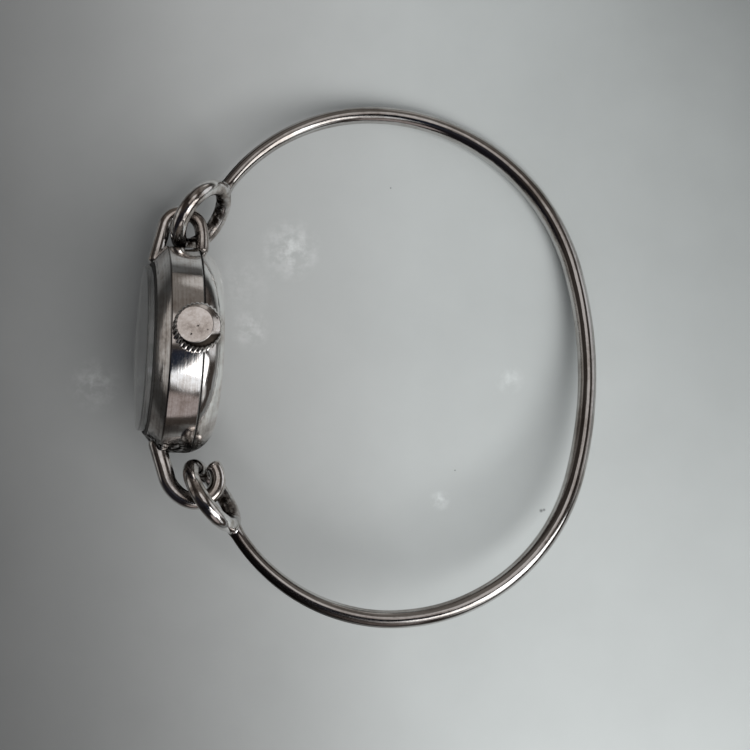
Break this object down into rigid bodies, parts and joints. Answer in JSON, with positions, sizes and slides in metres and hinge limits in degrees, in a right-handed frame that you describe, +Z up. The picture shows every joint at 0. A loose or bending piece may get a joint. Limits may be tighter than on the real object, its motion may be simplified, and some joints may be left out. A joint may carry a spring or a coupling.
{
  "type": "bangle watch",
  "caption": "Small round hand-wound watch with a knurled crown, hung between the ends of a tapered round wire bangle with a loop hinge and a hook clasp.",
  "frame": {"origin": "on the table top, under the middle of the watch's bounding box, inside the bangle's ring", "axes": "+Z up from the table; +Y towards the bangle's upper, loop end, which is the picture's up; +X from the watch head towards the bangle's far side"},
  "size_m": [0.0536, 0.059, 0.0248],
  "materials": {
    "silver": "polished silver, lightly tarnished",
    "black_rubber": "matt black",
    "clear_glass": "polished, clear",
    "white_enamel": "satin off-white",
    "black_print": "matt black",
    "blued_steel": "blued and polished",
    "gilt_brass": "gilt, fine grained",
    "plain_brass": "polished",
    "bright_steel": "polished",
    "ruby": "polished synthetic ruby"
  },
  "bodies": {
    "head": {"case_body": "silver", "case_back": "silver", "hook_lug": "silver", "loop_lug": "silver", "crown_tube": "silver", "crystal": "clear_glass", "crystal_gasket": "black_rubber", "back_gasket": "black_rubber", "movement_ring": "plain_brass", "case_screws": "blued_steel", "dial": "white_enamel", "hour_markers": "black_print", "main_plate": "gilt_brass", "barrel_bridge": "gilt_brass", "train_bridge": "gilt_brass", "balance_cock": "gilt_brass", "pallet_bridge": "gilt_brass", "bridge_screws": "blued_steel", "train_jewels": "ruby", "balance_jewels": "ruby", "crown_wheel_screw": "blued_steel", "click_spring": "bright_steel", "yoke_spring": "bright_steel", "hairspring": "blued_steel"},
    "bangle": {"bangle_wire": "silver", "upper_eye": "silver", "lower_eye": "silver"},
    "seal": {"crown_gasket": "black_rubber"},
    "stem": {"crown": "silver", "winding_stem": "bright_steel"},
    "clutch": {"clutch_wheel": "bright_steel"},
    "winding_pinion": {"winding_pinion": "bright_steel"},
    "crown_wheel": {"crown_wheel": "bright_steel"},
    "ratchet": {"ratchet_wheel": "bright_steel", "ratchet_screw": "blued_steel", "barrel_arbor": "bright_steel"},
    "click": {"click": "bright_steel"},
    "barrel": {"barrel_drum": "plain_brass", "barrel_cover": "plain_brass", "mainspring": "bright_steel"},
    "centre": {"centre_wheel": "plain_brass"},
    "third": {"third_wheel": "plain_brass"},
    "fourth": {"fourth_wheel": "plain_brass"},
    "escape": {"escape_wheel": "bright_steel"},
    "pallet": {"pallet_fork": "bright_steel"},
    "balance": {"balance_wheel": "plain_brass", "balance_staff": "bright_steel"},
    "minute": {"cannon_pinion": "bright_steel", "minute_hand": "blued_steel"},
    "minute_wheel": {"minute_wheel": "plain_brass"},
    "hour": {"hour_wheel": "plain_brass", "hour_hand": "blued_steel"},
    "setting_wheel": {"setting_wheel": "bright_steel"},
    "setting_lever": {"setting_lever": "bright_steel"},
    "yoke": {"yoke": "bright_steel"}
  },
  "joints": [
    {"name": "bangle_flap", "type": "hinge", "parent": "head", "child": "bangle", "pos_m": [-0.01965, 0.00087, 0.01105], "axis": [0, 0.9848, -0.1736], "range_deg": [0, 40]},
    {"name": "stem_pull", "type": "slide", "parent": "head", "child": "seal", "axis": [0.2588, 0.1677, 0.9513], "range_m": [0, 0.0007]},
    {"name": "crown_spin", "type": "hinge", "parent": "seal", "child": "stem", "pos_m": [-0.01994, 0.00089, 0.01113], "axis": [0.2588, 0.1677, 0.9513], "continuous": true},
    {"name": "clutch_slide", "type": "slide", "parent": "stem", "child": "clutch", "axis": [0.2588, 0.1677, 0.9513], "range_m": [-0.001, 0]},
    {"name": "winding_pinion_spin", "type": "hinge", "parent": "head", "child": "winding_pinion", "pos_m": [-0.01994, 0.00089, 0.01113], "axis": [0.2588, 0.1677, 0.9513], "continuous": true},
    {"name": "crown_wheel_spin", "type": "hinge", "parent": "head", "child": "crown_wheel", "pos_m": [-0.01804, 0.00158, 0.01506], "axis": [-0.9659, 0.0449, 0.2549], "continuous": true},
    {"name": "ratchet_spin", "type": "hinge", "parent": "head", "child": "ratchet", "pos_m": [-0.0189, 0.00488, 0.01124], "axis": [-0.9659, 0.0449, 0.2549], "continuous": true},
    {"name": "click_lift", "type": "hinge", "parent": "head", "child": "click", "pos_m": [-0.02009, 0.00532, 0.00667], "axis": [-0.9659, 0.0449, 0.2549], "range_deg": [0, 12], "stiffness_Nm_per_rad": 0.0001, "springref_deg": -5.73},
    {"name": "fourth_spin", "type": "hinge", "parent": "head", "child": "fourth", "pos_m": [-0.01965, -0.00328, 0.00984], "axis": [-0.9659, 0.0449, 0.2549], "continuous": true},
    {"name": "third_spin", "type": "hinge", "parent": "head", "child": "third", "pos_m": [-0.02005, -0.00093, 0.00792], "axis": [-0.9659, 0.0449, 0.2549], "continuous": true},
    {"name": "centre_spin", "type": "hinge", "parent": "head", "child": "centre", "pos_m": [-0.01917, 0.00085, 0.01093], "axis": [-0.9659, 0.0449, 0.2549], "continuous": true},
    {"name": "barrel_spin", "type": "hinge", "parent": "head", "child": "barrel", "pos_m": [-0.0189, 0.00488, 0.01124], "axis": [-0.9659, 0.0449, 0.2549], "continuous": true},
    {"name": "escape_spin", "type": "hinge", "parent": "head", "child": "escape", "pos_m": [-0.01901, -0.00376, 0.01235], "axis": [-0.9659, 0.0449, 0.2549], "continuous": true},
    {"name": "pallet_swing", "type": "hinge", "parent": "head", "child": "pallet", "pos_m": [-0.01854, -0.00307, 0.01402], "axis": [-0.9659, 0.0449, 0.2549], "range_deg": [-5, 5]},
    {"name": "balance_swing", "type": "hinge", "parent": "head", "child": "balance", "pos_m": [-0.01806, -0.00237, 0.01572], "axis": [-0.9659, 0.0449, 0.2549], "range_deg": [-180, 180], "stiffness_Nm_per_rad": 0.0000005},
    {"name": "minute_hand_spin", "type": "hinge", "parent": "head", "child": "minute", "pos_m": [-0.01917, 0.00085, 0.01093], "axis": [-0.9659, 0.0449, 0.2549], "continuous": true},
    {"name": "minute_wheel_spin", "type": "hinge", "parent": "head", "child": "minute_wheel", "pos_m": [-0.0187, 0.00115, 0.01264], "axis": [-0.9659, 0.0449, 0.2549], "continuous": true},
    {"name": "hour_hand_spin", "type": "hinge", "parent": "head", "child": "hour", "pos_m": [-0.01917, 0.00085, 0.01093], "axis": [-0.9659, 0.0449, 0.2549], "continuous": true},
    {"name": "setting_wheel_spin", "type": "hinge", "parent": "head", "child": "setting_wheel", "pos_m": [-0.0182, 0.00148, 0.01449], "axis": [-0.9659, 0.0449, 0.2549], "continuous": true},
    {"name": "setting_lever_turn", "type": "hinge", "parent": "head", "child": "setting_lever", "pos_m": [-0.01728, 0.00503, 0.01735], "axis": [-0.9659, 0.0449, 0.2549], "range_deg": [0, 13.74]},
    {"name": "yoke_turn", "type": "hinge", "parent": "head", "child": "yoke", "pos_m": [-0.01793, -0.0013, 0.01601], "axis": [-0.9659, 0.0449, 0.2549], "range_deg": [0, 5.83]}
  ],
  "couplings": [
    {"joint": "clutch_slide", "follows": "stem_pull", "ratio": -1.4285},
    {"joint": "setting_lever_turn", "follows": "stem_pull", "rad_per_m": 340},
    {"joint": "yoke_turn", "follows": "stem_pull", "rad_per_m": 142.9},
    {"joint": "winding_pinion_spin", "follows": "crown_spin", "ratio": 1},
    {"joint": "crown_wheel_spin", "follows": "crown_spin", "ratio": 0.64286},
    {"joint": "ratchet_spin", "follows": "crown_spin", "ratio": -0.32143},
    {"joint": "third_spin", "follows": "fourth_spin", "ratio": -0.13333},
    {"joint": "centre_spin", "follows": "fourth_spin", "ratio": 0.016667},
    {"joint": "barrel_spin", "follows": "fourth_spin", "ratio": -0.0020833},
    {"joint": "escape_spin", "follows": "fourth_spin", "ratio": -10},
    {"joint": "minute_wheel_spin", "follows": "minute_hand_spin", "ratio": -0.33333},
    {"joint": "hour_hand_spin", "follows": "minute_hand_spin", "ratio": 0.083333},
    {"joint": "setting_wheel_spin", "follows": "minute_hand_spin", "ratio": 0.75}
  ]
}
